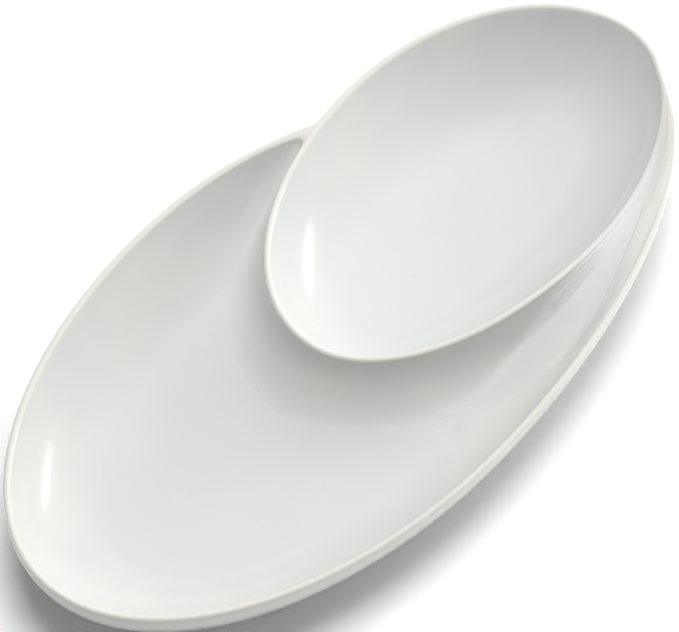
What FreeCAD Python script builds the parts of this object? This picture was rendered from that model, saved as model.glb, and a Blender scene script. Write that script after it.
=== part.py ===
import FreeCAD, Part
import math
import os

# Chip-and-dip server: one glazed piece of white ware.  A large shallow oval dish
# carries a smaller oval dip bowl at its right-hand end.  X runs along the long way
# (bowl at +X), Y across it, Z up.  The origin is on the table, under the middle.

doc = FreeCAD.newDocument("chip_dip_server")
os.makedirs("parts", exist_ok=True)

# ---- sizes, each written once (mm and degrees) -------------------------------
sheet = doc.addObject("Spreadsheet::Sheet", "sizes")
row_count = 0


def size(alias, value, note):
    """Put one named size, or a formula made of earlier ones, on the next row."""
    global row_count
    row_count += 1
    sheet.set("A%d" % row_count, note)
    sheet.set("B%d" % row_count, str(value))
    sheet.setAlias("B%d" % row_count, alias)


# overall sizes
size("overall_length", 402, "dish tip to bowl tip at the rim")
size("overall_width", 196, "widest place across the dish rim")
size("rim_height", 42, "table to the top of every rim")
# how far the dish outline reaches from its widest place, as shares of the length
size("dish_left_share", 0.4326, "towards the free end")
size("dish_near_share", 0.5488, "near side, which runs on into the bowl rim")
size("dish_far_share", 0.3749, "far side, which stops at the notch")
# how far the bowl outline reaches from its own middle
size("bowl_left_share", 0.3104, "into the dish, share of the length")
size("bowl_right_share", 0.2754, "to the bowl tip, share of the length")
size("bowl_near_share", 0.3321, "to the near side, share of the width")
size("bowl_far_share", 0.3883, "to the far side, share of the width")
size("bowl_offset_share", 0.0235, "bowl middle off the long axis, share of the width")
size("bowl_turn", 2.1, "degrees the long way of the bowl is turned")
# the ware itself
size("wall_thick", 4.6, "thickness of the walls and rims")
size("floor_thick", 5.5, "thickness of both floors")
size("dish_foot_high", 7, "table to the underside of the dish")
size("bowl_foot_high", 4, "table to the underside of the bowl")
size("dish_end_run", 43, "level distance the dish end wall takes to reach the floor")
size("dish_side_run", 30, "the same for the dish side walls")
size("bowl_run", 35, "the same for the bowl wall all round")
size("rim_flat", 0.8, "flat left on top of a rounded rim")
# flare of the divider, from its crest out to the dish floor
size("flare_left", 20, "towards the free end of the dish")
size("flare_near", 15, "towards the near side")
size("flare_far", 11, "towards the far side")
size("crest_bite", 0.5, "how far inside the bowl wall the flare starts")
# ramp that lifts the dish floor where it narrows between the bowl and the near rim
size("ramp_start_share", 0.01, "where it starts to rise, from the middle, share of the length")
size("ramp_knee_share", 0.2, "where it eases off, share of the length")
size("ramp_end_share", 0.47, "where it is all but level with the rim, share of the length")
size("ramp_knee_drop", 9, "top of the ramp below the rim where it eases off")
size("ramp_end_drop", 3, "top of the ramp below the rim at its end")
size("tail_trim", 6, "dish rim stops this far short of the point where it would feather out")
# the small land that joins the two rims at the notch
size("web_reach", 7, "how far the land runs along each rim")
size("web_drop", 1.5, "top of the land below the rim")
size("web_deep", 9, "depth of the land")
# foot rings
size("foot_wide", 6, "width of a foot ring where it joins the ware")
size("foot_taper", 1, "how much each side of a ring draws in at the table")
size("foot_margin", 7, "foot ring in from the edge of the underside")
size("foot_round", 0.8, "rounding of the edges that touch the table")

# sizes that follow from the ones above
size("half_width", "=overall_width / 2", "reach of the dish to either side")
size("dish_left", "=overall_length * dish_left_share", "reach to the free end")
size("dish_near", "=overall_length * dish_near_share", "reach of the near side")
size("dish_far", "=overall_length * dish_far_share", "reach of the far side")
size("dish_x", "=dish_left - overall_length / 2", "widest place of the dish")
size("dish_deep", "=rim_height - floor_thick - dish_foot_high", "depth of the dish")
size("bowl_left", "=overall_length * bowl_left_share", "reach into the dish")
size("bowl_right", "=overall_length * bowl_right_share", "reach to the bowl tip")
size("bowl_near", "=overall_width * bowl_near_share", "reach to the near side")
size("bowl_far", "=overall_width * bowl_far_share", "reach to the far side")
size("bowl_x", "=overall_length / 2 - bowl_right", "middle of the bowl along X")
size("bowl_y", "=overall_width * bowl_offset_share", "middle of the bowl along Y")
size("bowl_deep", "=rim_height - floor_thick - bowl_foot_high", "depth of the bowl")
size("dish_draw", "=dish_end_run + wall_thick", "underside in from the free end")
size("side_draw", "=dish_side_run + wall_thick", "underside in from the sides")
size("bowl_draw", "=bowl_run + wall_thick", "bowl underside in from its rim")
size("dish_foot_start", "=dish_draw + foot_margin - overall_length / 2", "free end of its ring")
size("dish_foot_stop", "=bowl_x - bowl_left + bowl_draw / 2 - foot_margin", "short of the bowl")
size("dish_foot_x", "=(dish_foot_start + dish_foot_stop) / 2", "middle of the dish ring")
size("dish_foot_long", "=(dish_foot_stop - dish_foot_start) / 2", "half its length")
size("dish_foot_room", "=half_width - side_draw - 2.5 * foot_margin", "half the room across")
size("dish_foot_across", "=min(dish_foot_room; 0.9 * dish_foot_long)", "half its width")
size("bowl_foot_x", "=bowl_x + (bowl_right - bowl_left) / 2", "middle of the bowl ring")
size("bowl_foot_y", "=bowl_y + (bowl_far - bowl_near) / 2", "the same across")
size("bowl_foot_long", "=(bowl_right + bowl_left) / 2 - bowl_draw - foot_margin", "half its length")
size("bowl_foot_across", "=(bowl_far + bowl_near) / 2 - bowl_draw - foot_margin", "half its width")
doc.recompute()


def get(alias):
    """Read a size back from the sheet as a plain number."""
    return float(sheet.get(alias))


top = get("rim_height")
length = get("overall_length")
wall = get("wall_thick")
floor = get("floor_thick")
bowl_turn = math.radians(get("bowl_turn"))

# every outline is drawn with this many points and every wall with this many steps
outline_points = 40
wall_steps = 6
# a wall is this much of a quarter turn, so it meets its floor at a slight angle
wall_turn = math.radians(80)
# under the bowl the dish outline eases from its near reach to its far reach
ease_start = math.radians(-14)
ease_end = math.radians(48)


# ---- outlines ------------------------------------------------------------------
def dish_reach(angle):
    """Reach of the dish outline in one direction from its widest place."""
    if math.cos(angle) < 0:
        return get("dish_left")
    turn = math.atan2(math.sin(angle), math.cos(angle))
    share = (turn - ease_start) / (ease_end - ease_start)
    share = max(0.0, min(1.0, share))
    share = share * share * (3 - 2 * share)
    return get("dish_near") + (get("dish_far") - get("dish_near")) * share


def dish_point(angle, inset_x, inset_y):
    """Point of the dish outline with its two reaches shortened."""
    along = (dish_reach(angle) - inset_x) * math.cos(angle)
    across = (get("half_width") - inset_y) * math.sin(angle)
    return get("dish_x") + along, across


def bowl_point(angle, inset_x, inset_y):
    """Point of the bowl outline with its two reaches shortened."""
    reach_x = get("bowl_right") if math.cos(angle) > 0 else get("bowl_left")
    reach_y = get("bowl_far") if math.sin(angle) > 0 else get("bowl_near")
    along = (reach_x - inset_x) * math.cos(angle)
    across = (reach_y - inset_y) * math.sin(angle)
    turned_x = along * math.cos(bowl_turn) - across * math.sin(bowl_turn)
    turned_y = along * math.sin(bowl_turn) + across * math.cos(bowl_turn)
    return get("bowl_x") + turned_x, get("bowl_y") + turned_y


def in_bowl(place):
    """True where a plan point lies inside the bowl rim."""
    from_x = place[0] - get("bowl_x")
    from_y = place[1] - get("bowl_y")
    along = from_x * math.cos(bowl_turn) + from_y * math.sin(bowl_turn)
    across = from_y * math.cos(bowl_turn) - from_x * math.sin(bowl_turn)
    share_x = along / (get("bowl_right") if along > 0 else get("bowl_left"))
    share_y = across / (get("bowl_far") if across > 0 else get("bowl_near"))
    return math.hypot(share_x, share_y) < 1, math.atan2(share_y, share_x)


def rim_crossing(outside, inside):
    """Angle on the dish outline where it crosses the bowl rim, between two angles."""
    for halving in range(30):
        middle = (outside + inside) / 2
        if in_bowl(dish_point(middle, 0, 0))[0]:
            inside = middle
        else:
            outside = middle
    return outside


def flare_point(angle, share, unused):
    """Bowl outline grown by a share of the full flare."""
    grow_x = get("flare_left") * share
    grow_y = (get("flare_far") if math.sin(angle) > 0 else get("flare_near")) * share
    return bowl_point(angle, -grow_x, -grow_y)


def outline(point_at, first, second, thick, level):
    """Closed smooth wire at one level, moved squarely inwards by a thickness."""
    points = []
    for step in range(outline_points):
        angle = 2 * math.pi * step / outline_points
        here = point_at(angle, first, second)
        before = point_at(angle - 0.02, first, second)
        after = point_at(angle + 0.02, first, second)
        along = FreeCAD.Vector(after[0] - before[0], after[1] - before[1], 0).normalize()
        inwards = FreeCAD.Vector(-along.y, along.x, 0)
        points.append(FreeCAD.Vector(here[0], here[1], level) + inwards * thick)
    knots = [step / outline_points for step in range(outline_points + 1)]
    curve = Part.BSplineCurve()
    curve.interpolate(Points=points, PeriodicFlag=True, Parameters=knots)
    return Part.Wire([curve.toShape()])


# ---- ways of making solids -------------------------------------------------------
def loft(name, wires):
    """Solid through a stack of outlines."""
    sections = []
    for number, wire in enumerate(wires):
        section = doc.addObject("Part::Feature", "%s_section_%d" % (name, number))
        section.Shape = wire
        sections.append(section)
    made = doc.addObject("Part::Loft", name)
    made.Sections = sections
    made.Solid = True
    return made


def wall_step(step):
    """Share of the run and share of the depth reached at one step down a wall."""
    turn = wall_turn * step / wall_steps
    run_share = (1 - math.cos(turn)) / (1 - math.cos(wall_turn))
    return run_share, math.sin(turn) / math.sin(wall_turn)


def vessel(name, point_at, thick, run_x, run_y, deep):
    """Solid whose wall curves in from the rim and flattens towards the floor."""
    wires = []
    for step in range(wall_steps + 1):
        share, down = wall_step(step)
        wires.append(outline(point_at, run_x * share, run_y * share, thick, top - deep * down))
    return loft(name, wires)


def boolean(kind, name, base, tool):
    """Cut or Common of two objects."""
    made = doc.addObject(kind, name)
    made.Base = base
    made.Tool = tool
    return made


def round_edges(name, base, level, radius):
    """Round every edge of a solid that lies flat at one level."""
    doc.recompute()
    edges = []
    for number, edge in enumerate(base.Shape.Edges, 1):
        box = edge.BoundBox
        if abs(box.ZMin - level) < 0.01 and abs(box.ZMax - level) < 0.01:
            edges.append((number, radius, radius))
    made = doc.addObject("Part::Fillet", name)
    made.Base = base
    made.Edges = edges
    return made


rim_radius = (wall - get("rim_flat")) / 2

# ---- the big oval dish -------------------------------------------------------------
dish_end = get("dish_end_run")
dish_side = get("dish_side_run")
dish_body = vessel("dish_body", dish_point, 0, dish_end + wall, dish_side + wall, get("dish_deep") + floor)
dish_hollow = vessel("dish_hollow", dish_point, wall, dish_end, dish_side, get("dish_deep"))
dish_shell = boolean("Part::Cut", "dish_shell", dish_body, dish_hollow)
dish_round = round_edges("dish_round", dish_shell, top, rim_radius)

# ---- the oval dip bowl ---------------------------------------------------------------
bowl_run = get("bowl_run")
bowl_body = vessel("bowl_body", bowl_point, 0, bowl_run + wall, bowl_run + wall, get("bowl_deep") + floor)
bowl_hollow = vessel("bowl_hollow", bowl_point, wall, bowl_run, bowl_run, get("bowl_deep"))
bowl_shell = boolean("Part::Cut", "bowl_shell", bowl_body, bowl_hollow)
dip_bowl = round_edges("bowl_round", bowl_shell, top, rim_radius)

# the dish stops where the bowl begins, and just before its rim would feather out
merge = dish_point(rim_crossing(math.radians(-80), ease_start), 0, 0)
tail = doc.addObject("Part::Box", "tail")
tail.setExpression("Length", "sizes.overall_length")
tail.setExpression("Width", "sizes.overall_width")
tail.setExpression("Height", "2 * sizes.rim_height")
tail.Placement.Base = FreeCAD.Vector(merge[0] - get("tail_trim"), -get("half_width"), -top / 2)
dish_trimmed = boolean("Part::Cut", "dish_trimmed", dish_round, tail)
chip_dish = boolean("Part::Cut", "dish_cut", dish_trimmed, bowl_body)

# ---- the flared wall between the two -------------------------------------------------
flare_wires = []
for step in range(wall_steps + 1):
    share, down = wall_step(step)
    level = top - (get("dish_deep") + floor / 2) * down
    flare_wires.append(outline(flare_point, share, 0, get("crest_bite"), level))
flare = loft("flare", flare_wires)
flare_ring = boolean("Part::Cut", "flare_ring", flare, bowl_body)
divider_flare = boolean("Part::Common", "flare_in_dish", flare_ring, dish_hollow)

# ---- the rising floor in the narrow tail of the dish ---------------------------------
dish_floor = get("dish_foot_high") + floor
ramp_start = FreeCAD.Vector(length * get("ramp_start_share"), -get("half_width"), dish_floor)
ramp_knee = FreeCAD.Vector(length * get("ramp_knee_share"), -get("half_width"), top - get("ramp_knee_drop"))
ramp_end = FreeCAD.Vector(length * get("ramp_end_share"), -get("half_width"), top - get("ramp_end_drop"))
level_way = FreeCAD.Vector(1, 0, 0)
ramp_line = Part.BSplineCurve()
ramp_line.interpolate(Points=[ramp_start, ramp_knee, ramp_end], InitialTangent=level_way, FinalTangent=level_way)
below_end = FreeCAD.Vector(ramp_end.x, ramp_end.y, dish_floor)
ramp_sides = [ramp_line.toShape(), Part.makeLine(ramp_end, below_end), Part.makeLine(below_end, ramp_start)]
ramp_plan = doc.addObject("Part::Feature", "ramp_side")
ramp_plan.Shape = Part.Face(Part.Wire(ramp_sides))
ramp_block = doc.addObject("Part::Extrusion", "ramp_block")
ramp_block.Base = ramp_plan
ramp_block.DirMode = "Custom"
ramp_block.Dir = FreeCAD.Vector(0, 1, 0)
ramp_block.setExpression("LengthFwd", "sizes.half_width + sizes.bowl_y")
ramp_block.Solid = True
ramp_in_dish = boolean("Part::Common", "ramp_in_dish", ramp_block, dish_hollow)
ramp_off_bowl = boolean("Part::Cut", "ramp_off_bowl", ramp_in_dish, bowl_body)
tail_ramp = boolean("Part::Cut", "ramp_off_flare", ramp_off_bowl, flare)

# ---- the land at the notch, where the two rims part -----------------------------------
def shift_along(point_at, angle, distance):
    """Point that lies a short distance further round an outline."""
    before = point_at(angle - 0.01, 0, 0)
    after = point_at(angle + 0.01, 0, 0)
    speed = math.hypot(after[0] - before[0], after[1] - before[1]) / 0.02
    return point_at(angle + distance / speed, 0, 0)


notch_angle = rim_crossing(math.pi / 2, ease_end)
notch = dish_point(notch_angle, 0, 0)
on_dish = shift_along(dish_point, notch_angle, get("web_reach"))
on_bowl = shift_along(bowl_point, in_bowl(notch)[1], -get("web_reach"))
web_level = top - get("web_drop")
web_points = []
for place in (on_dish, on_bowl, (notch[0], notch[1] - wall), on_dish):
    web_points.append(FreeCAD.Vector(place[0], place[1], web_level))
web_plan = doc.addObject("Part::Feature", "web_plan")
web_plan.Shape = Part.Face(Part.makePolygon(web_points))
web_block = doc.addObject("Part::Extrusion", "web_block")
web_block.Base = web_plan
web_block.DirMode = "Custom"
web_block.Dir = FreeCAD.Vector(0, 0, -1)
web_block.setExpression("LengthFwd", "sizes.web_deep")
web_block.Solid = True
web_off_dish = boolean("Part::Cut", "web_off_dish", web_block, dish_body)
rim_web = boolean("Part::Cut", "web_off_bowl", web_off_dish, bowl_body)


# ---- foot rings -------------------------------------------------------------------------
def foot_oval(name, prefix, grow, height):
    """Oval round the middle of one ring, its size and height bound to the sheet."""
    oval = doc.addObject("Part::Ellipse", name)
    oval.setExpression("MajorRadius", "sizes.%s_foot_long + %s" % (prefix, grow))
    oval.setExpression("MinorRadius", "sizes.%s_foot_across + %s" % (prefix, grow))
    oval.setExpression("Placement.Base.x", "sizes.%s_foot_x" % prefix)
    oval.setExpression("Placement.Base.z", height)
    if prefix == "bowl":
        oval.setExpression("Placement.Base.y", "sizes.bowl_foot_y")
    return oval


def foot_ring(prefix):
    """Tapered oval ring from the underside of one vessel down to the table."""
    height = "sizes.%s_foot_high" % prefix
    outer = doc.addObject("Part::Loft", prefix + "_foot_outer")
    outer.Sections = [
        foot_oval(prefix + "_foot_outer_low", prefix, "-sizes.foot_taper", "0"),
        foot_oval(prefix + "_foot_outer_high", prefix, "0", height),
    ]
    outer.Solid = True
    inner = doc.addObject("Part::Loft", prefix + "_foot_inner")
    inner.Sections = [
        foot_oval(prefix + "_foot_inner_low", prefix, "sizes.foot_taper - sizes.foot_wide", "0"),
        foot_oval(prefix + "_foot_inner_high", prefix, "-sizes.foot_wide", height),
    ]
    inner.Solid = True
    ring = boolean("Part::Cut", prefix + "_foot_ring", outer, inner)
    return round_edges(prefix + "_foot_rounded", ring, 0, get("foot_round"))


dish_foot = foot_ring("dish")
bowl_foot = foot_ring("bowl")

# ---- check every step, then write one file for each piece --------------------------------
doc.recompute()
kept = {
    "chip_dish": chip_dish,
    "dip_bowl": dip_bowl,
    "divider_flare": divider_flare,
    "tail_ramp": tail_ramp,
    "rim_web": rim_web,
    "dish_foot": dish_foot,
    "bowl_foot": bowl_foot,
}
for name, item in kept.items():
    item.Label = name
for item in doc.Objects:
    if "Invalid" in item.State or "Error" in item.State:
        raise RuntimeError("step failed: " + item.Name)
for name, item in kept.items():
    if item.Shape.isNull() or not item.Shape.isValid() or len(item.Shape.Solids) != 1:
        raise RuntimeError("not one sound solid: " + name)
    item.Shape.exportStep("parts/%s.step" % name)
    box = item.Shape.BoundBox
    print(name, round(item.Shape.Volume), "mm3, z", round(box.ZMin, 2), "to", round(box.ZMax, 2))
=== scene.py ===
# %% [markdown]
# # A white chip-and-dip server
# One fired piece of white ware: a long shallow oval dish with a smaller oval dip bowl
# set into its right-hand end.  Nothing on it moves.  This lesson builds the glazed skin
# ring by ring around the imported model, stands it on two foot rings, and lights it softly.
# Everything is in metres, with the table at Z = 0 and the bowl towards +X.

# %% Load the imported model
import math
import bmesh
import bpy
from mathutils import Matrix, Vector
from mathutils.kdtree import KDTree


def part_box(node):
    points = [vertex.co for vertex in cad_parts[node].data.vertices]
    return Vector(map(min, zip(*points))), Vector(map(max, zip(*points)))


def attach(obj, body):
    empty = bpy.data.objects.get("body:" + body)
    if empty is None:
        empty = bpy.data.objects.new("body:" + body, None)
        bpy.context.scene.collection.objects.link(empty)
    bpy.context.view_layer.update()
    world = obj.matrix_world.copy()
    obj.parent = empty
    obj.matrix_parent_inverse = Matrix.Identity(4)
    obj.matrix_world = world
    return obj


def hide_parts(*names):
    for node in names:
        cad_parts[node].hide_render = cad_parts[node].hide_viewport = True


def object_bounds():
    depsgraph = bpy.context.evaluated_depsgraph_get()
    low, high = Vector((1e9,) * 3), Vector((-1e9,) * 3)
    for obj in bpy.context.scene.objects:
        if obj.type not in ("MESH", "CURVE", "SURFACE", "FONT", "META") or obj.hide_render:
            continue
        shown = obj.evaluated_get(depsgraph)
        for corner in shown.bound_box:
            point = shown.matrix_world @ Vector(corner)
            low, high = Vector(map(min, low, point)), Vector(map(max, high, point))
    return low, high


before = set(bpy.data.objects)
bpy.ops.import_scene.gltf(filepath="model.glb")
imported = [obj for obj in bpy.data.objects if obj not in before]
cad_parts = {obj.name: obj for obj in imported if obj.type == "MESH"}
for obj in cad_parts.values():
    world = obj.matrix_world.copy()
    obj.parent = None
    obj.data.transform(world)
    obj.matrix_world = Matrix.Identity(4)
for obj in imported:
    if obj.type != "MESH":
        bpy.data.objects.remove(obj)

cad_low, cad_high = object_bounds()
print("packed box", [round(v, 4) for v in cad_low], [round(v, 4) for v in cad_high])

# %% [markdown]
# ## The measures of the ware
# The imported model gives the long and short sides, the rim height and both undersides.
# What a box can't tell, such as how thick the wall is and how far each wall leans in
# before it reaches the floor, is written here once, in millimetres turned into metres.

# %% Sizes
MM = 0.001
length = cad_high.x - cad_low.x
half_width = (cad_high.y - cad_low.y) / 2
rim_height = cad_high.z
dish_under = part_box("dish_foot")[1].z
bowl_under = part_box("bowl_foot")[1].z
wall = 4.6 * MM
floor_thick = 5.5 * MM
lip = 1.3 * MM
roll = 2.2 * MM
dish_floor = dish_under + floor_thick
bowl_floor = bowl_under + floor_thick
dish_end_run = 43 * MM
dish_side_run = 30 * MM
bowl_run = 35 * MM
flare_left = 20 * MM
flare_near = 15 * MM
flare_far = 11 * MM
print("rim %.1f mm, dish floor %.1f mm, bowl floor %.1f mm" % (
    rim_height / MM, dish_floor / MM, bowl_floor / MM))

# %% [markdown]
# ## Two egg-shaped outlines
# Both rims are ovals that reach different distances in different directions, so each
# outline is a cosine and a sine with its own reach on every side.  The near side of the
# dish reaches much further than the far side, because it runs on into the bowl's rim.
# Under the bowl, where nobody sees it, the one reach eases into the other.

# %% Outline of the dish and of the bowl
dish_left = 0.4326 * length
dish_near = 0.5488 * length
dish_far = 0.3749 * length
dish_x = cad_low.x + dish_left
bowl_left = 0.3104 * length
bowl_right = 0.2754 * length
bowl_near = 0.3321 * 2 * half_width
bowl_far = 0.3883 * 2 * half_width
bowl_x = cad_high.x - bowl_right
bowl_y = 0.0235 * 2 * half_width
bowl_turn = math.radians(2.1)
ease_start = math.radians(-14)
ease_end = math.radians(48)
small_turn = 0.01


def ease(share):
    """Go from 0 to 1 with no kink at either end."""
    share = min(1.0, max(0.0, share))
    return share * share * (3 - 2 * share)


def dish_edge(angle, draw_end, draw_side):
    """Point of the dish outline, its reaches shortened by two draws."""
    turn = math.atan2(math.sin(angle), math.cos(angle))
    reach = dish_left
    if math.cos(angle) > 0:
        share = ease((turn - ease_start) / (ease_end - ease_start))
        reach = dish_near + (dish_far - dish_near) * share
    return Vector((
        dish_x + (reach - draw_end) * math.cos(angle),
        (half_width - draw_side) * math.sin(angle)))


def bowl_edge(angle, draw_left, draw_right, draw_near, draw_far):
    """Point of the bowl outline, each reach shortened by its own draw."""
    across, along = math.sin(angle), math.cos(angle)
    reach_x = bowl_right - draw_right if along > 0 else bowl_left - draw_left
    reach_y = bowl_far - draw_far if across > 0 else bowl_near - draw_near
    place = Vector((reach_x * along, reach_y * across))
    place.rotate(Matrix.Rotation(bowl_turn, 2))
    return place + Vector((bowl_x, bowl_y))


def moved_in(edge, angle, thick):
    """Point of an outline moved squarely inwards by a thickness."""
    step = edge(angle + small_turn) - edge(angle - small_turn)
    inwards = Vector((-step.y, step.x)).normalized()
    return edge(angle) + inwards * thick


# %% [markdown]
# ## How a wall leans
# A potter's wall leaves the rim almost upright and flattens out towards the floor, like
# part of an oval.  `lean` answers one question: at this depth below the rim, what share
# of its full level run has the wall covered?  The wall stops a few degrees short of
# level, which leaves the soft line where wall meets floor on the real piece.

# %% Lean of a wall
last_turn = math.radians(82)
roll_turn = math.radians(60)
roll_deep = roll * (1 - math.cos(roll_turn))
roll_wide = roll * math.sin(roll_turn)
hollow_start = math.radians(20)
hollow_rim = 1.55
hollow_floor = 1.7


def outer_step(turn):
    """Shares of depth and run on an outer wall, at one turn from 0 to 1."""
    angle = turn * last_turn
    return (math.sin(angle) / math.sin(last_turn),
            (1 - math.cos(angle)) / (1 - math.cos(last_turn)))


def hollow_step(turn):
    """Shares of depth and run on the inside of a wall, at one turn from 0 to 1."""
    angle = hollow_start + turn * (math.pi / 2 - hollow_start)
    down = math.sin(hollow_start) ** (2 / hollow_rim)
    across = 1 - math.cos(hollow_start) ** (2 / hollow_floor)
    level = 1 - max(0.0, math.cos(angle)) ** (2 / hollow_floor)
    deep = math.sin(angle) ** (2 / hollow_rim)
    return (deep - down) / (1 - down), (level - across) / (1 - across)


def lean(depth, top, deep, step):
    """Share of its run a wall has covered at one depth."""
    share = min(1.0, max(0.0, (depth - top) / (deep - top)))
    low, high = 0.0, 1.0
    for _ in range(30):
        middle = (low + high) / 2
        if step(middle)[0] < share:
            low = middle
        else:
            high = middle
    return step(high)[1]


def rolled(depth, radius, limit):
    """Level distance a rim's round edge has covered at one depth."""
    depth = min(depth, limit)
    return math.sqrt(max(0.0, 2 * radius * depth - depth * depth))


# %% [markdown]
# ## Levels: four kinds of slice
# The skin is drawn like a contour map.  Each level is a slice at one height, and each
# slice is an outline of the dish, an outline of the bowl, or both joined where they
# cross.  The rim is rounded by two arcs, a tight one outside and a wider one that rolls
# into the hollow, and below them the walls lean as described.

# %% Slices of the dish wall, the bowl wall, the divider's flare and the outside
rim_steps = 8
dish_steps = 44
bowl_steps = 36
outside_steps = 30


def levels(radius, limit, deep, steps, step):
    """Depths of the slices: round the rim's edge, then down the wall."""
    last = math.acos(1 - limit / radius)
    found = [radius * (1 - math.cos(last * turn / rim_steps)) for turn in range(rim_steps + 1)]
    return found + [limit + (deep - limit) * step(turn / steps)[0] for turn in range(1, steps + 1)]


def dish_inside(angle, depth):
    """Inner face of the dish."""
    covered = lean(depth, roll_deep, rim_height - dish_floor, hollow_step)
    extra = wall - lip - roll_wide
    return moved_in(
        lambda a: dish_edge(a, (dish_end_run + extra) * covered, (dish_side_run + extra) * covered),
        angle, lip + rolled(depth, roll, roll_deep))


def bowl_inside(angle, depth):
    """Inner face of the bowl."""
    covered = lean(depth, roll_deep, rim_height - bowl_floor, hollow_step)
    draw = (bowl_run + wall - lip - roll_wide) * covered
    return moved_in(
        lambda a: bowl_edge(a, draw, draw, draw, draw), angle, lip + rolled(depth, roll, roll_deep))


def divider_outside(angle, depth):
    """Flared face of the divider, on the dish side."""
    covered = lean(depth, lip, rim_height - dish_floor, outer_step)
    return moved_in(
        lambda a: bowl_edge(
            a, -flare_left * covered, 0, -flare_near * covered, -flare_far * covered),
        angle, lip - rolled(depth, lip, lip))


def dish_outside(angle, depth):
    """Outer face of the dish."""
    covered = lean(depth, lip, rim_height - dish_under, outer_step)
    return moved_in(
        lambda a: dish_edge(a, (dish_end_run + wall) * covered, (dish_side_run + wall) * covered),
        angle, lip - rolled(depth, lip, lip))


def bowl_outside(angle, depth):
    """Outer face of the bowl."""
    draw = (bowl_run + wall) * lean(depth, lip, rim_height - bowl_under, outer_step)
    return moved_in(
        lambda a: bowl_edge(a, draw, draw, draw, draw), angle, lip - rolled(depth, lip, lip))


# %% [markdown]
# ## Where two outlines cross
# The rims part at a notch on the far side and merge again at the tail on the near side.
# Halving a range of angles closes in on each crossing, at every level of the wall.

# %% Crossings
full_turn = 2 * math.pi
search_turn = 0.8


def halve(is_inside, outside, inside):
    """Angle between two others at which a test changes its answer."""
    for _ in range(32):
        middle = (outside + inside) / 2
        if is_inside(middle):
            inside = middle
        else:
            outside = middle
    return (outside + inside) / 2


def bearing(place):
    """Direction of a plan point from the middle of the bowl."""
    return math.atan2(place.y - bowl_y, place.x - bowl_x) % full_turn


def bowl_angle_of(bowl_face, direction):
    """Angle on a bowl outline that lies in one direction from its middle."""
    def passed(angle):
        return ((bearing(bowl_face(angle)) - direction + math.pi) % full_turn) > math.pi
    return halve(passed, direction - search_turn, direction + search_turn)


def crossing(dish_face, bowl_face, outside, inside):
    """Angles on both outlines where they cross."""
    middle = Vector((bowl_x, bowl_y))

    def within(angle):
        place = dish_face(angle)
        edge = bowl_face(bowl_angle_of(bowl_face, bearing(place)))
        return (place - middle).length < (edge - middle).length

    on_dish = halve(within, outside, inside)
    return on_dish, bowl_angle_of(bowl_face, bearing(dish_face(on_dish)))


# %% [markdown]
# ## Corners that a potter would wipe round
# Two crossing outlines meet in a point.  Clay doesn't: a wet sponge rounds it.  So the
# last few points on both sides of a corner are laid on a Bezier curve that leaves one
# outline and joins the other, more and more strongly below the rim.

# %% Rounding helper
def bezier(first, pull_first, pull_last, last, share):
    """Point on a cubic Bezier curve."""
    rest = 1 - share
    return (first * rest ** 3 + pull_first * 3 * rest ** 2 * share
            + pull_last * 3 * rest * share ** 2 + last * share ** 3)


def round_corner(before, after, count, amount):
    """Lay the end of one run of points and the start of the next on one curve.

    before ends and after starts at the corner, or on either side of a gap there."""
    amount = min(1.0, max(0.0, amount))
    first, last = before[-1 - count], after[count]
    pull_first, pull_last = before[-1].copy(), after[0].copy()
    for step in range(count + 1):
        share = step / (2 * count)
        here = bezier(first, pull_first, pull_last, last, share)
        there = bezier(first, pull_first, pull_last, last, 1 - share)
        before[step - 1 - count] = before[step - 1 - count].lerp(here, amount)
        after[count - step] = after[count - step].lerp(there, amount)


# %% [markdown]
# ## The line along the top of the rims
# Three sheets of skin share one line that runs along the top of every rim: once round
# the outside, with a branch along the divider.  Its points are worked out once, so that
# the sheets meet exactly and no seam shows in the gloss.  Where the dish rim runs on
# into the bowl rim the two are blended into one long curve.

# %% Shared rim line
dish_count = 260
divider_count = 150
bowl_count = 120
merge_count = 9


def arc(face, start, end, count):
    """Evenly turned points of one outline."""
    return [face(start + (end - start) * step / count) for step in range(count + 1)]


def at_level(face, depth):
    """An outline's face fixed at one level."""
    return lambda angle: face(angle, depth)


def level_angles(dish_face, bowl_face):
    """Angles of notch and tail on the dish, then on the bowl."""
    notch = crossing(dish_face, bowl_face, math.pi / 2, ease_end)
    tail = crossing(dish_face, bowl_face, math.radians(-80), math.radians(-3))
    return notch[0], full_turn + tail[0], notch[1], tail[1]


top_dish = at_level(dish_inside, 0)
top_bowl = at_level(bowl_inside, 0)
dish_notch, dish_tail, bowl_notch, bowl_tail = level_angles(top_dish, top_bowl)
rim_dish = arc(top_dish, dish_notch, dish_tail, dish_count)
rim_divider = arc(top_bowl, bowl_notch, bowl_tail, divider_count)
rim_bowl = arc(top_bowl, bowl_tail, bowl_notch + full_turn, bowl_count)
plain_dish, plain_divider, plain_bowl = list(rim_dish), list(rim_divider), list(rim_bowl)
round_corner(rim_dish, rim_bowl, merge_count, 1)
tail_shift = rim_dish[-1] - rim_divider[-1]
follow_count = merge_count * 2
for step in range(follow_count):
    moved = rim_divider[-1 - step] + tail_shift * ease(1 - step / follow_count)
    rim_divider[-1 - step] = moved
shift_dish = [new - old for new, old in zip(rim_dish, plain_dish)]
shift_divider = [new - old for new, old in zip(rim_divider, plain_divider)]
shift_bowl = [new - old for new, old in zip(rim_bowl, plain_bowl)]
print("notch at", [round(v / MM, 1) for v in rim_dish[0]],
      "tail at", [round(v / MM, 1) for v in rim_dish[-1]])


def shifted(points, shifts, amount):
    """Points moved by the rim line's own small shifts, faded by an amount."""
    return [place + shift * amount for place, shift in zip(points, shifts)]


# %% [markdown]
# ## Growing a sheet ring by ring
# A sheet starts as a circle of vertices laid on the rim line.  Each further ring is an
# extrusion of the last one's edges, moved to the next slice.  The operator keeps the
# faces in order, and the slices give the shape.

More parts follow.
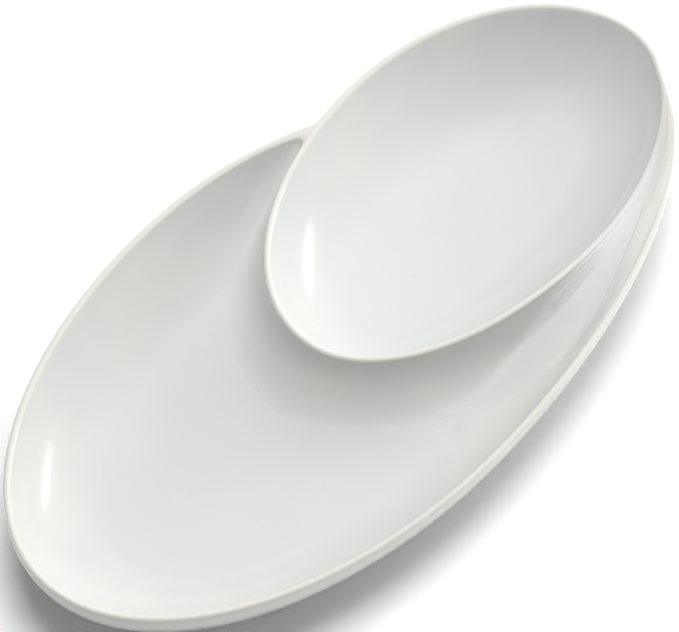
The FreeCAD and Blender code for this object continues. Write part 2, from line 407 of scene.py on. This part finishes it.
# %% Ring tools
def first_ring(mesh, places, height):
    """A circle of vertices laid on a closed run of points."""
    made = bmesh.ops.create_circle(mesh, segments=len(places), radius=0.1)
    ring = sorted(made["verts"], key=lambda v: math.atan2(v.co.y, v.co.x))
    for vertex, place in zip(ring, places):
        vertex.co = (place.x, place.y, height)
    return ring


def next_ring(mesh, ring, places, height):
    """Extrude a ring's edges and lay the new ring on the next slice."""
    members = set(ring)
    edges = [e for v in ring for e in v.link_edges if e.other_vert(v) in members]
    edges = list(dict.fromkeys(edges))
    made = bmesh.ops.extrude_edge_only(mesh, edges=edges)
    fresh = {v for v in made["geom"] if isinstance(v, bmesh.types.BMVert)}
    new_ring = []
    for vertex, place in zip(ring, places):
        partner = next(
            e.other_vert(vertex) for e in vertex.link_edges if e.other_vert(vertex) in fresh)
        partner.co = (place.x, place.y, height)
        new_ring.append(partner)
    return new_ring


def flat_border(places, width):
    """A ring moved level into the flat that it surrounds."""
    area = sum(a.x * b.y - b.x * a.y for a, b in zip(places, places[1:] + places[:1]))
    inwards = 1 if area > 0 else -1
    moved = []
    for index, place in enumerate(places):
        step = places[(index + 1) % len(places)] - places[index - 1]
        moved.append(place + Vector((-step.y, step.x)).normalized() * width * inwards)
    return moved


def grow(mesh, rings, flat=0):
    """A sheet from a list of (points, height), ended by a strip of the flat if asked."""
    if flat:
        places, height = rings[-1]
        rings = rings + [(flat_border(places, flat), height)]
    ring = first_ring(mesh, *rings[0])
    for places, height in rings[1:]:
        ring = next_ring(mesh, ring, places, height)


def closed(*runs):
    """Join runs of points end to end into one ring, each without its last point."""
    return [place for run in runs for place in run[:-1]]


# %% [markdown]
# ## Sheet one: inside the dish
# From the rim line down the dish wall on one side and down the flared divider on the
# other, to the flat floor.  The two walls meet in the dark inner corner at the notch.
# Just under the rim that corner is rounded wide, which leaves the small land that joins
# the two rims there.  At the other end the walls close up in the narrow tail like the two
# sides of a boat.  The crossing there runs back fast with depth, so extra slices a
# quarter of a millimetre apart keep the faces short.

# %% Rings of the dish hollow
extra_gap = 0.25
extra_first = 5
extra_last = 48
same_level = 0.02 * MM
shift_fade = 14 * MM
flat_strip = 0.4 * MM
tip_count = 8
tip_from = 0.2 * MM
tip_over = 2.5 * MM
notch_count = 9
notch_over = 0.5 * MM
low_notch_from = 3 * MM
low_notch_over = 12 * MM


def dish_depths():
    """Levels of the wall, with extra ones in its upper part."""
    found = levels(roll, roll_deep, rim_height - dish_floor, dish_steps, hollow_step)
    found += [step * extra_gap * MM for step in range(extra_first, extra_last)]
    kept = []
    for depth in sorted(found):
        if not kept or depth - kept[-1] > same_level:
            kept.append(depth)
    return kept


def dish_rings():
    """Slices of the dish hollow from the rim line to the floor."""
    rings = []
    for depth in dish_depths():
        dish_face = at_level(dish_inside, depth)
        bowl_face = at_level(divider_outside, depth)
        start, end, bowl_start, bowl_end = level_angles(dish_face, bowl_face)
        outer = arc(dish_face, start, end, dish_count)
        inner = arc(bowl_face, bowl_start, bowl_end, divider_count)[::-1]
        fade = 1 - ease(depth / shift_fade)
        outer = shifted(outer, shift_dish, fade)
        inner = shifted(inner, shift_divider[::-1], fade)
        if depth > 0:
            round_corner(outer, inner, tip_count, (depth - tip_from) / tip_over)
            round_corner(inner, outer, notch_count, depth / notch_over)
            round_corner(inner, outer, notch_count, (depth - low_notch_from) / low_notch_over)
        rings.append((closed(outer, inner), rim_height - depth))
    return rings


ware = bmesh.new()
grow(ware, dish_rings(), flat_strip)
print("dish hollow:", len(ware.faces), "faces")

# %% [markdown]
# ## The tail's floor climbs
# Left alone, the two walls of the tail would meet in a deep groove.  The real floor
# climbs along the tail instead, until it is almost level with the rim.  Every point below
# that climbing floor is raised onto it, and the join with the walls is softened.
# Near the tip there is no room left for a wall, so the clay sweeps up to the outer rim
# on one side and to the divider's crest on the other, in one shallow cove that ends
# flush with both.

# %% Raise the tail's floor and sweep it up to both rims
tail_start = -10 * MM
tail_end = 178 * MM
tail_drop = 1.0 * MM
tail_bend = 7
tail_side = 20 * MM
land_soft = 3 * MM
land_fade = 2 * MM
floor_guard = 0.01 * MM
cove_start = 20 * MM
cove_end = 85 * MM
cove_wide = 11 * MM
cove_guard = 0.5 * MM
cove_drop = 0.9 * MM
crest_wide = 8 * MM
flush_start = 100 * MM
flush_end = 140 * MM
flush_drop = 0.15 * MM


def path_finder(places):
    """Function that gives a vertex's level distance from a run of places."""
    parts = 4
    tree = KDTree(len(places) * parts)
    for index, (place, following) in enumerate(zip(places, places[1:])):
        for part in range(parts):
            point = place.lerp(following, part / parts)
            tree.insert((point.x, point.y, 0), index * parts + part)
    tree.balance()
    return lambda vertex: tree.find((vertex.co.x, vertex.co.y, 0))[2]


def tail_height(x):
    """Height of the dish floor along its narrow tail."""
    share = min(1.0, max(0.0, (x - tail_start) / (tail_end - tail_start)))
    climbed = 1 - (1 - share ** 2) ** tail_bend
    return dish_floor + (rim_height - tail_drop - dish_floor) * climbed


def raise_to_land(vertex):
    """Lift a point onto the climbing floor, softly where floor and wall meet."""
    land = tail_height(vertex.co.x)
    overlap = max(0.0, land_soft - abs(vertex.co.z - land))
    soften = overlap * overlap / (4 * land_soft) * ease((rim_height - vertex.co.z) / land_fade)
    vertex.co.z = max(vertex.co.z, land) + soften


def sweep_to_rims(vertex):
    """Lift a point near either rim towards it, more and more towards the tip."""
    along = ease((vertex.co.x - cove_start) / (cove_end - cove_start))
    flush = ease((vertex.co.x - flush_start) / (flush_end - flush_start))
    to_outer = ease(1 - from_outer(vertex) / cove_wide)
    to_crest = ease(1 - from_crest(vertex) / crest_wide)
    drop = cove_drop + (flush_drop - cove_drop) * flush
    missing = max(0.0, rim_height - drop - vertex.co.z)
    vertex.co.z += missing * along * max(to_outer, to_crest)


def in_tail(vertex, start, low):
    """Whether a point is past a given X, on the near side and above a given height."""
    return vertex.co.x > start and vertex.co.y < tail_side and vertex.co.z > low


from_outer = path_finder(rim_dish + rim_bowl)
from_crest = path_finder(rim_divider)
for vertex in ware.verts:
    if in_tail(vertex, tail_start, dish_floor + floor_guard):
        raise_to_land(vertex)
    if in_tail(vertex, cove_start, dish_floor + cove_guard):
        sweep_to_rims(vertex)
print("tail floor at x = 80 mm: %.1f mm" % (tail_height(80 * MM) / MM))

# %% [markdown]
# ## Sheet two: inside the bowl
# A plain oval hollow, a little deeper than the dish.

# %% Rings of the bowl hollow
bowl_shift_fade = 16 * MM


def bowl_rings():
    """Slices of the bowl hollow from the rim line to the floor."""
    rings = []
    for depth in levels(roll, roll_deep, rim_height - bowl_floor, bowl_steps, hollow_step):
        face = at_level(bowl_inside, depth)
        left = arc(face, bowl_notch, bowl_tail, divider_count)
        right = arc(face, bowl_tail, bowl_notch + full_turn, bowl_count)
        fade = 1 - ease(depth / bowl_shift_fade)
        left = shifted(left, shift_divider, fade)
        right = shifted(right, shift_bowl, fade)
        rings.append((closed(left, right), rim_height - depth))
    return rings


grow(ware, bowl_rings(), flat_strip)
print("with bowl hollow:", len(ware.faces), "faces")

# %% [markdown]
# ## The crest sinks into the tail
# Towards the tail the divider's crest drops below the rim and fades into the right-hand
# wall.  Every point near the crest there is let down, and the points near the outer rim
# stay where they are, so the rim keeps its level all the way round.  A few rounds of
# smoothing then wipe the join, as a wet sponge would.

# %% Let the crest down
sink_start = 60 * MM
sink_end = 140 * MM
sink_deep = 2.4 * MM
sink_guard = 9 * MM
sink_wide = 10 * MM
smooth_guard = 1.2 * MM
smooth_turns = 14
crest_zone = 9 * MM
weld_gap = 0.002 * MM
bmesh.ops.remove_doubles(ware, verts=ware.verts, dist=weld_gap)
tail_points = []
for vertex in ware.verts:
    if in_tail(vertex, cove_start, rim_height - crest_zone):
        near = from_outer(vertex)
        along = ease((vertex.co.x - sink_start) / (sink_end - sink_start))
        at_crest = ease(1 - from_crest(vertex) / sink_wide)
        vertex.co.z -= sink_deep * along * ease(near / sink_guard) * at_crest
        if near > smooth_guard and vertex.co.x > sink_start:
            tail_points.append(vertex)
for turn in range(smooth_turns):
    bmesh.ops.smooth_vert(ware, verts=tail_points, factor=0.5, use_axis_z=True)
print("tail points smoothed:", len(tail_points))

# %% [markdown]
# ## Sheet three: the outside
# Down the outer wall of the dish, then of the bowl, to the dish's underside.  At the
# tail the dish's wall runs on into the bowl's, so that corner is rounded at once and
# wide.  At the notch the crease stays, and is only rounded a little below the rim.

# %% Rings of the outside
crease_count = 3
crease_over = 0.6 * MM


def outside_rings():
    """Slices of the outer walls from the rim line to the underside of the dish."""
    rings = []
    for depth in levels(lip, lip, rim_height - dish_under, outside_steps, outer_step):
        dish_face = at_level(dish_outside, depth)
        bowl_face = at_level(bowl_outside, depth)
        start, end, bowl_start, bowl_end = level_angles(dish_face, bowl_face)
        left = arc(dish_face, start, end, dish_count)
        right = arc(bowl_face, bowl_end, bowl_start + full_turn, bowl_count)
        if depth == 0:
            left, right = list(rim_dish), list(rim_bowl)
        else:
            round_corner(left, right, merge_count, 1)
            round_corner(right, left, crease_count, depth / crease_over)
        rings.append((closed(left, right), rim_height - depth))
    return rings


outside = outside_rings()
grow(ware, outside)
print("with outside:", len(ware.faces), "faces")

# %% [markdown]
# ## Sheet four: under the bowl
# The bowl is deeper than the dish, so its bottom stands proud of the dish's underside.
# Its first slice borrows the outside's last points.  Then the four flats, two floors and
# two undersides, are the only holes left, and a single operator fills them all.

# %% Rings under the bowl, then weld and fill
under_steps = 8
under_follow = 12


def under_bowl_rings():
    """Slices of the bowl's bottom below the underside of the dish."""
    level = rim_height - dish_under
    bowl_face = at_level(bowl_outside, level)
    angles = level_angles(at_level(dish_outside, level), bowl_face)
    borrowed = outside[-1][0][dish_count:] + outside[-1][0][:1]
    plain = arc(bowl_face, angles[3], angles[2] + full_turn, bowl_count)
    shifts = [new - old for new, old in zip(borrowed, plain)]
    end_shift, start_shift = shifts[0], shifts[-1]
    near_ends = [
        start_shift * ease(1 - i / under_follow)
        + end_shift * ease(1 - (divider_count - i) / under_follow)
        for i in range(divider_count + 1)]
    rings = []
    for step in range(under_steps + 1):
        turn = math.pi / 2 * step / under_steps
        depth = level + (rim_height - bowl_under - level) * math.sin(turn)
        face = at_level(bowl_outside, depth)
        left = arc(face, angles[2], angles[3], divider_count)
        right = arc(face, angles[3], angles[2] + full_turn, bowl_count)
        fade = 1 - ease(step / under_steps)
        left = shifted(left, near_ends, fade)
        right = shifted(right, shifts, fade)
        rings.append((closed(left, right), rim_height - depth))
    return rings


grow(ware, under_bowl_rings(), flat_strip)
bmesh.ops.remove_doubles(ware, verts=ware.verts, dist=weld_gap)
open_edges = [e for e in ware.edges if e.is_boundary]
filled = bmesh.ops.holes_fill(ware, edges=open_edges)["faces"]
level_gap = 0.1 * MM
for face in filled:
    if abs(face.calc_center_median().z - dish_under) < level_gap:
        for edge in face.edges:
            edge.smooth = False
bmesh.ops.recalc_face_normals(ware, faces=ware.faces)
print("open edges left:", sum(1 for e in ware.edges if not e.is_manifold), "filled", len(filled))


def add_piece(name, mesh):
    """Turn a bmesh into a smooth-shaded object at the origin."""
    data = bpy.data.meshes.new(name)
    mesh.to_mesh(data)
    mesh.free()
    data.shade_smooth()
    piece = bpy.data.objects.new(name, data)
    bpy.context.scene.collection.objects.link(piece)
    return piece


glazed_body = add_piece("glazed_body", ware)
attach(glazed_body, "root")
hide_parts("chip_dish", "dip_bowl", "divider_flare", "tail_ramp", "rim_web")

# %% [markdown]
# ## Foot rings
# Each vessel stands on a low oval ring.  A ring is one closed section swept round an
# oval: the section's points are given, one ring is laid for each, and the last ring is
# bridged to the first.

# %% Two foot rings
foot_wide = 6 * MM
foot_lean = 0.9 * MM
foot_soft = 0.9 * MM
foot_edge_steps = 5
foot_segments = 160


def foot_ring(name, node):
    """A tapered oval ring with rounded edges where it stands."""
    low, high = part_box(node)
    centre = (low + high) / 2
    reach_x, reach_y, tall = high.x - centre.x, high.y - centre.y, high.z
    section = [(0, tall), (foot_lean, foot_soft)]
    for step in range(1, foot_edge_steps + 1):
        turn = math.pi / 2 * step / foot_edge_steps
        inset = foot_lean + foot_soft * (1 - math.cos(turn))
        section.append((inset, foot_soft * (1 - math.sin(turn))))
    section += [(foot_wide - inset, z) for inset, z in reversed(section)]
    mesh = bmesh.new()
    rings = []
    for inset, z in section:
        ring = bmesh.ops.create_circle(mesh, segments=foot_segments, radius=1)["verts"]
        for vertex in ring:
            vertex.co = (centre.x + vertex.co.x * (reach_x - inset),
                         centre.y + vertex.co.y * (reach_y - inset), z)
        rings.append([e for v in ring for e in v.link_edges])
    for ring, following in zip(rings, rings[1:] + rings[:1]):
        bmesh.ops.bridge_loops(mesh, edges=list(dict.fromkeys(ring + following)))
    bmesh.ops.recalc_face_normals(mesh, faces=mesh.faces)
    piece = add_piece(name, mesh)
    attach(piece, "root")
    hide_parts(node)
    return piece


dish_ring = foot_ring("dish_foot_ring", "dish_foot")
bowl_ring = foot_ring("bowl_foot_ring", "bowl_foot")

# %% [markdown]
# ## Tools for the finishes
# Each finish is a small net of nodes.  Patterns are laid in the object's own space,
# centred on the piece, and every pattern is given the real size of its blobs in
# millimetres.  Colours are written as sRGB codes and turned into light values in one place.

# %% Material tools
def linear(code):
    """Linear colour from an sRGB hex code."""
    parts = [int(code[i:i + 2], 16) / 255 for i in (1, 3, 5)]
    parts = [p / 12.92 if p <= 0.04045 else ((p + 0.055) / 1.055) ** 2.4 for p in parts]
    return (*parts, 1.0)


def add_node(tree, kind, settings=None, **links):
    """Add one node, give it its settings, and link its inputs."""
    node = tree.nodes.new(kind)
    for key, value in (settings or {}).items():
        if key in node.inputs.keys():
            node.inputs[key].default_value = value
        else:
            setattr(node, key, value)
    for key, source in links.items():
        tree.links.new(source, node.inputs[key.replace("_", " ")])
    return node


def new_material(name, middle):
    """Empty material, its tree, its shader, and its centred object space."""
    material = bpy.data.materials.new(name)
    material.use_nodes = True
    tree = material.node_tree
    raw = add_node(tree, "ShaderNodeTexCoord")
    centred = add_node(
        tree, "ShaderNodeMapping", {"Location": -middle}, Vector=raw.outputs["Object"])
    return material, tree, tree.nodes["Principled BSDF"], centred.outputs["Vector"]


def clouds(tree, place, size, detail=1.0):
    """Soft blobs of one real size."""
    return add_node(tree, "ShaderNodeTexNoise", {"Scale": 1 / size, "Detail": detail},
                    Vector=place).outputs["Fac"]


def spread(tree, source, low, high, to_low=0.0, to_high=1.0):
    """Stretch a range of values smoothly over another."""
    return add_node(tree, "ShaderNodeMapRange", {
        "interpolation_type": "SMOOTHSTEP", "From Min": low, "From Max": high,
        "To Min": to_low, "To Max": to_high}, Value=source).outputs["Result"]


def blend(tree, share, first, last):
    """Mix a first colour, a code or a socket, into a last one given as a code."""
    settings = {"Color2": linear(last)}
    links = {"Fac": share}
    if isinstance(first, str):
        settings["Color1"] = linear(first)
    else:
        links["Color1"] = first
    return add_node(tree, "ShaderNodeMixRGB", settings, **links).outputs["Color"]


def ripple(tree, shader, height, distance, strength):
    """Give a shader a fine relief."""
    relief = add_node(
        tree, "ShaderNodeBump", {"Distance": distance, "Strength": strength}, Height=height)
    tree.links.new(relief.outputs["Normal"], shader.inputs["Normal"])


def combine(tree, operation, first, second):
    """Add or multiply two values."""
    node = add_node(tree, "ShaderNodeMath", {"operation": operation})
    tree.links.new(first, node.inputs[0])
    tree.links.new(second, node.inputs[1])
    return node.outputs["Value"]


def height_in(tree, place):
    """Height within the piece, from its middle."""
    return add_node(tree, "ShaderNodeSeparateXYZ", Vector=place).outputs["Z"]


# %% [markdown]
# ## Clear gloss glaze on porcelain
# The body gives the white, the glaze over it gives the mirror.  A glaze is never one
# even coat: it runs thin over the rims, where the warmer body shows, gathers a little
# cooler at the bottom, drifts in faint clouds, and carries a few iron specks.  It sets
# with a slow ripple called orange peel, which is what makes the edge of a highlight
# waver.  All of it is kept so faint that the ware still reads as plain white.

# %% Glaze on the body
white = "#dbdbd8"
cool_white = "#d7d8d6"
pooled_white = "#d5d8d8"
thin_white = "#e0ddd6"
iron = "#b4ada0"
pool_deep = 9 * MM
thin_deep = 3 * MM
speck_cell = 8 * MM
speck_edge = 0.36 * MM
speck_core = 0.16 * MM
speck_strength = 0.4


def glaze_colour(tree, place, thin, pooled):
    """Colour of the glaze from its clouds, its depth in the piece and its specks."""
    drift = spread(tree, clouds(tree, place, 55 * MM, 2.0), 0.35, 0.65)
    colour = blend(tree, drift, white, cool_white)
    height = height_in(tree, place)
    gathered = spread(tree, height, pooled + pool_deep, pooled, 0.0, 0.5)
    colour = blend(tree, gathered, colour, pooled_white)
    worn_thin = spread(tree, height, thin - thin_deep, thin, 0.0, 0.5)
    colour = blend(tree, worn_thin, colour, thin_white)
    cells = add_node(tree, "ShaderNodeTexVoronoi", {"Scale": 1 / speck_cell}, Vector=place)
    speck = spread(tree, cells.outputs["Distance"], speck_edge / speck_cell,
                   speck_core / speck_cell, 0.0, speck_strength)
    return blend(tree, speck, colour, iron)


def set_gloss(tree, shader, place):
    """Mirror and ripple of the set glaze."""
    patchy = spread(tree, clouds(tree, place, 30 * MM), 0.3, 0.7, 0.17, 0.22)
    tree.links.new(patchy, shader.inputs["Roughness"])
    shader.inputs["IOR"].default_value = 1.5
    shader.inputs["Coat Weight"].default_value = 0.25
    shader.inputs["Coat Roughness"].default_value = 0.08
    ripple(tree, shader, clouds(tree, place, 6 * MM), 0.05 * MM, 0.25)


body_middle = (cad_low + cad_high) / 2
glaze, tree, skin, place = new_material("clear_gloss_glaze_on_porcelain", body_middle)
tree.links.new(
    glaze_colour(tree, place, rim_height - body_middle.z, bowl_floor - body_middle.z),
    skin.inputs["Base Color"])
set_gloss(tree, skin, place)
glazed_body.data.materials.append(glaze)

# %% [markdown]
# ## Foot rings: glazed sides, bare underneath
# Ware is wiped clean of glaze where it stands, or it would stick to the kiln shelf, and
# the bare ring is then ground flat.  So the sides of a ring carry the glaze, and its
# last millimetre is dry, warm biscuit with fine grinding grain.

# %% Glaze and bare biscuit on the foot rings
biscuit = "#d3ccbf"
glaze_ends = 1.3 * MM
bare_begins = 0.9 * MM


def foot_finish(piece, node):
    """Glaze on the sides, ground biscuit on the standing edge."""
    low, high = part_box(node)
    middle = (low + high) / 2
    finish, tree, shader, place = new_material("ground_bare_foot_under_glaze_" + node, middle)
    waver = spread(tree, clouds(tree, place, 9 * MM), 0.3, 0.7, -0.2 * MM, 0.2 * MM)
    edge = combine(tree, "ADD", height_in(tree, place), waver)
    bare = spread(tree, edge, glaze_ends - middle.z, bare_begins - middle.z)
    drift = spread(tree, clouds(tree, place, 20 * MM), 0.35, 0.65)
    colour = blend(tree, drift, white, cool_white)
    tree.links.new(blend(tree, bare, colour, biscuit), shader.inputs["Base Color"])
    tree.links.new(spread(tree, bare, 0.0, 1.0, 0.19, 0.8), shader.inputs["Roughness"])
    grain = combine(tree, "MULTIPLY", clouds(tree, place, 0.5 * MM, 3.0), bare)
    ripple(tree, shader, grain, 0.05 * MM, 0.5)
    piece.data.materials.append(finish)


foot_finish(dish_ring, "dish_foot")
foot_finish(bowl_ring, "bowl_foot")
print("finishes:", [material.name for material in bpy.data.materials])

# %% [markdown]
# ## A floor of white paper
# The server stands on a sweep of matt white paper.  Paper isn't quite even either: it
# has a fine tooth and a barely visible mottle.

# %% Paper sweep
scene = bpy.context.scene
paper_reach = 6
floor_mesh = bmesh.new()
bmesh.ops.create_grid(floor_mesh, x_segments=1, y_segments=1, size=paper_reach)
floor = add_piece("floor", floor_mesh)
paper, tree, sheet, place = new_material("white_paper_sweep", Vector((0, 0, 0)))
mottle = spread(tree, clouds(tree, place, 12 * MM, 2.0), 0.3, 0.7)
tree.links.new(blend(tree, mottle, "#fcfcfc", "#fafafa"), sheet.inputs["Base Color"])
sheet.inputs["Roughness"].default_value = 0.9
ripple(tree, sheet, clouds(tree, place, 0.7 * MM, 2.0), 0.02 * MM, 0.2)
floor.data.materials.append(paper)

# %% [markdown]
# ## Soft light
# White ware shows its shape only by soft shading, so the light is broad: a large round
# softbox overhead, a low one beyond the bowl that brightens the left-hand walls, three
# weak ones that fill the rest, and an even studio sky.  No softbox is mirrored in the
# gloss.  One smaller window is, and it gives each hollow its single soft highlight.

# %% Lights
sky_strength = 0.18
world = bpy.data.worlds.new("studio")
scene.world = world
world.use_nodes = True
sky = world.node_tree.nodes["Background"]
sky.inputs["Color"].default_value = (1, 1, 1, 1)
sky.inputs["Strength"].default_value = sky_strength

aim = Vector((cad_low.x + 187.2 * MM, 0.8 * MM, rim_height))
view_turn = math.radians(51.47)
view_rise = math.radians(53.2)
view_roll = math.radians(1.56)
away = Vector((math.sin(view_turn), math.cos(view_turn), 0))
beside = Vector((math.cos(view_turn), -math.sin(view_turn), 0))
up = Vector((0, 0, 1))
softbox_far = 1.8


def add_softbox(name, turn, rise, watts, wide=1.0):
    """A round soft light that faces the server from one direction.

    turn is counted in degrees from straight away to the right, rise from level up."""
    turn, rise = math.radians(turn), math.radians(rise)
    light = bpy.data.lights.new(name, "AREA")
    light.shape = "DISK"
    light.size, light.energy = wide, watts
    lamp = bpy.data.objects.new(name, light)
    scene.collection.objects.link(lamp)
    level = (away * math.cos(turn) + beside * math.sin(turn)) * math.cos(rise)
    lamp.location = aim + (level + up * math.sin(rise)) * softbox_far
    lamp.rotation_euler = (aim - lamp.location).to_track_quat("-Z", "Y").to_euler()
    lamp.visible_glossy = False
    return lamp


softboxes = {
    "overhead_softbox": (0, 90, 25),
    "low_window": (48, 12, 20),
    "back_softbox": (0, 40, 5),
    "right_back_softbox": (45, 40, 3),
    "right_softbox": (90, 12, 5),
}
for name, (turn, rise, watts) in softboxes.items():
    add_softbox(name, turn, rise, watts)
glint = add_softbox("small_window", 58, 4, 6.0, 0.7)
glint.visible_diffuse = False
glint.visible_glossy = True
print("lights:", len(softboxes) + 1)

# %% [markdown]
# ## Camera
# It looks down across the ware from the dish's end, far off with a long lens, so that
# the two ovals keep their true proportions.

# %% Camera
camera_data = bpy.data.cameras.new("camera")
camera = bpy.data.objects.new("camera", camera_data)
scene.collection.objects.link(camera)
scene.camera = camera
distance = 1.9
camera.location = aim - (away * math.cos(view_rise) - up * math.sin(view_rise)) * distance
looking = (aim - camera.location).to_track_quat("-Z", "Y").to_matrix()
camera.rotation_euler = (looking @ Matrix.Rotation(view_roll, 3, "Z")).to_euler()
camera_data.sensor_width = 36
camera_data.lens = 231.5
camera_data.clip_start = 0.05
camera_data.clip_end = 20
scene.view_settings.view_transform = "Standard"
